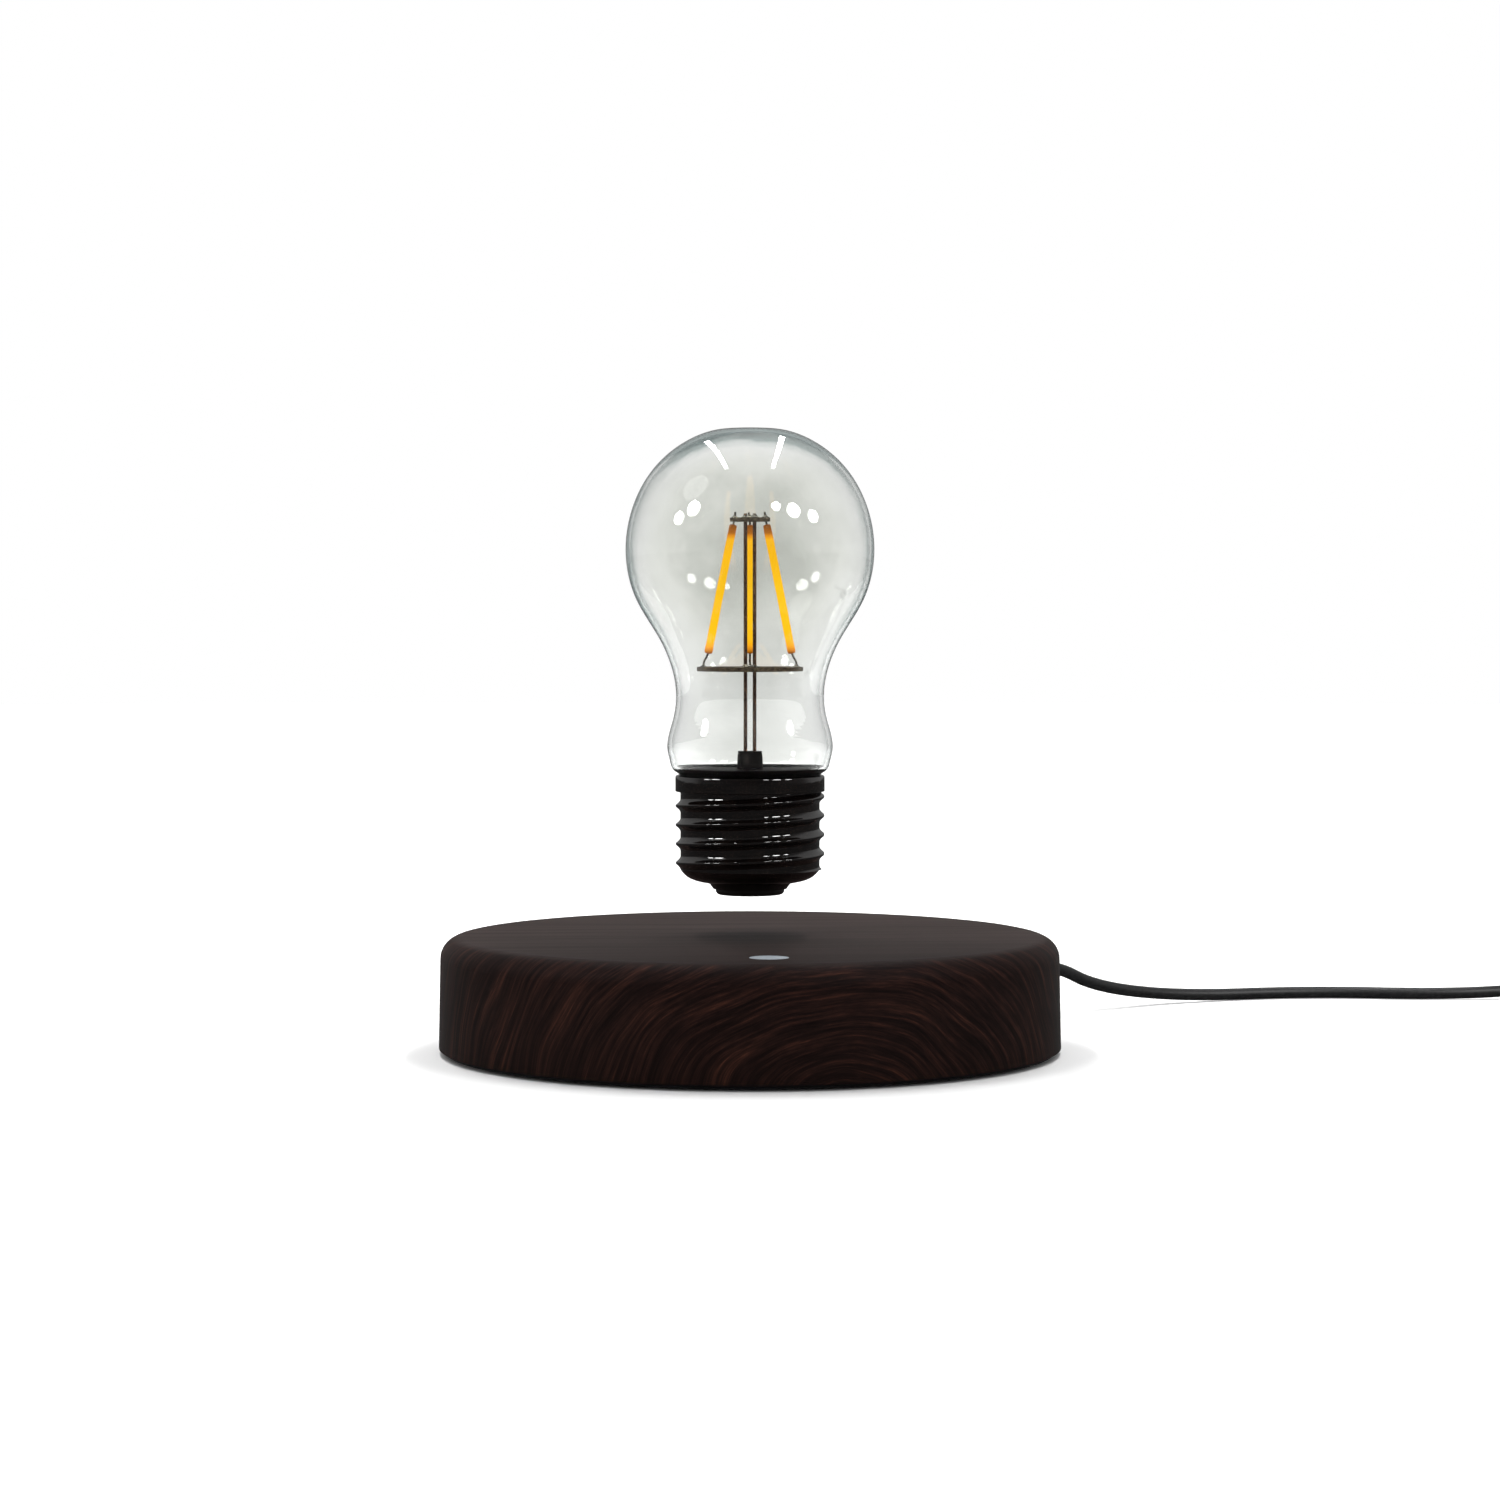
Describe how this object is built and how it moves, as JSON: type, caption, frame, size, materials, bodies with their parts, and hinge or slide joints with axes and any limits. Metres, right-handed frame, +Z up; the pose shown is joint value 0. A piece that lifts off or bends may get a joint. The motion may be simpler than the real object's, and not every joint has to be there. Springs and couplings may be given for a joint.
{
  "type": "levitating lamp",
  "caption": "Light bulb with glowing filament rods that floats over a round wood-look magnetic base, with a touch disc and a power lead.",
  "frame": {"origin": "under the middle of the base, on the surface that its feet stand on, measured without the lead", "axes": "+Z up along the bulb's axis; -Y towards the touch disc at the front of the base; the power socket is at the back right, 40.5 degrees from +X"},
  "size_m": [0.3499, 0.1815, 0.1502],
  "materials": {
    "wood_film": "moulded shell with a dark wood-grain film, satin",
    "black_cover": "moulded black, fine texture",
    "foot_rubber": "moulded rubber",
    "screw_steel": "zinc plated",
    "frosted_disc": "frosted translucent disc",
    "circuit_board": "solder-masked glass fibre board",
    "black_parts": "moulded component bodies",
    "spacer_brass": "turned hexagon posts",
    "magnet_ferrite": "sintered ferrite ring",
    "magnet_nickel": "nickel-plated neodymium",
    "bobbin_nylon": "moulded bobbins",
    "core_iron": "turned soft iron",
    "copper_winding": "enamelled copper wire",
    "socket_plastic": "moulded socket",
    "plug_metal": "nickel-plated plug contacts",
    "plug_rubber": "overmoulded soft plastic",
    "cord_rubber": "black extruded jacket, semi-matt",
    "clear_glass": "clear blown glass",
    "cap_black": "gloss black moulding",
    "contact_black": "black moulded end",
    "lid_black": "black moulded lid",
    "rod_metal": "dark coated wire",
    "disc_brown": "brown solder-masked plates",
    "filament_yellow": "yellow phosphor coating",
    "lead_metal": "tinned wire",
    "solder": "reflowed solder",
    "usb_tongue": "white moulded tongue"
  },
  "bodies": {
    "base": {"base_housing": "wood_film", "base_bottom_cover": "black_cover", "cover_screws": "screw_steel", "rubber_feet": "foot_rubber", "touch_lens": "frosted_disc", "touch_board": "circuit_board", "touch_board_screws": "screw_steel", "board_spacers": "spacer_brass", "main_board": "circuit_board", "board_screws": "screw_steel", "board_parts": "black_parts", "ring_magnet": "magnet_ferrite", "coil_bobbins": "bobbin_nylon", "coil_cores": "core_iron", "steering_coils": "copper_winding", "hall_sensor_board": "circuit_board", "power_coil": "copper_winding", "power_socket": "socket_plastic"},
    "float": {"bulb_magnet": "magnet_nickel"},
    "bulb": {"glass_envelope": "clear_glass", "screw_cap": "cap_black", "contact_insulator": "contact_black", "centre_contact": "contact_black", "receiver_coil": "copper_winding", "driver_board": "circuit_board", "cap_lid": "lid_black", "support_rods": "rod_metal", "lower_disc": "disc_brown", "upper_disc": "disc_brown", "filament_leads": "lead_metal", "solder_joints": "solder", "led_filament_right": "filament_yellow", "led_filament_back": "filament_yellow", "led_filament_left": "filament_yellow"},
    "lead": {"power_plug_barrel": "plug_metal", "power_plug": "plug_rubber", "plug_relief": "plug_rubber", "lead_run": "cord_rubber", "lead_coil": "cord_rubber", "coil_tie": "plug_rubber", "lead_tail": "cord_rubber", "usb_relief": "plug_rubber", "usb_plug_body": "plug_rubber", "usb_plug_shell": "plug_metal", "usb_plug_tongue": "usb_tongue"}
  },
  "joints": [
    {"name": "bulb_lift", "type": "slide", "parent": "base", "child": "float", "axis": [0, 0, 1], "range_m": [-0.0095, 0.06], "stiffness_N_per_m": 100, "springref_m": 0.00938},
    {"name": "bulb_spin", "type": "hinge", "parent": "float", "child": "bulb", "pos_m": [0, 0, 0.05], "axis": [0, 0, 1], "continuous": true},
    {"name": "power_plug_pull", "type": "slide", "parent": "base", "child": "lead", "axis": [0.7604, 0.6494, 0], "range_m": [0, 0.012]}
  ]
}
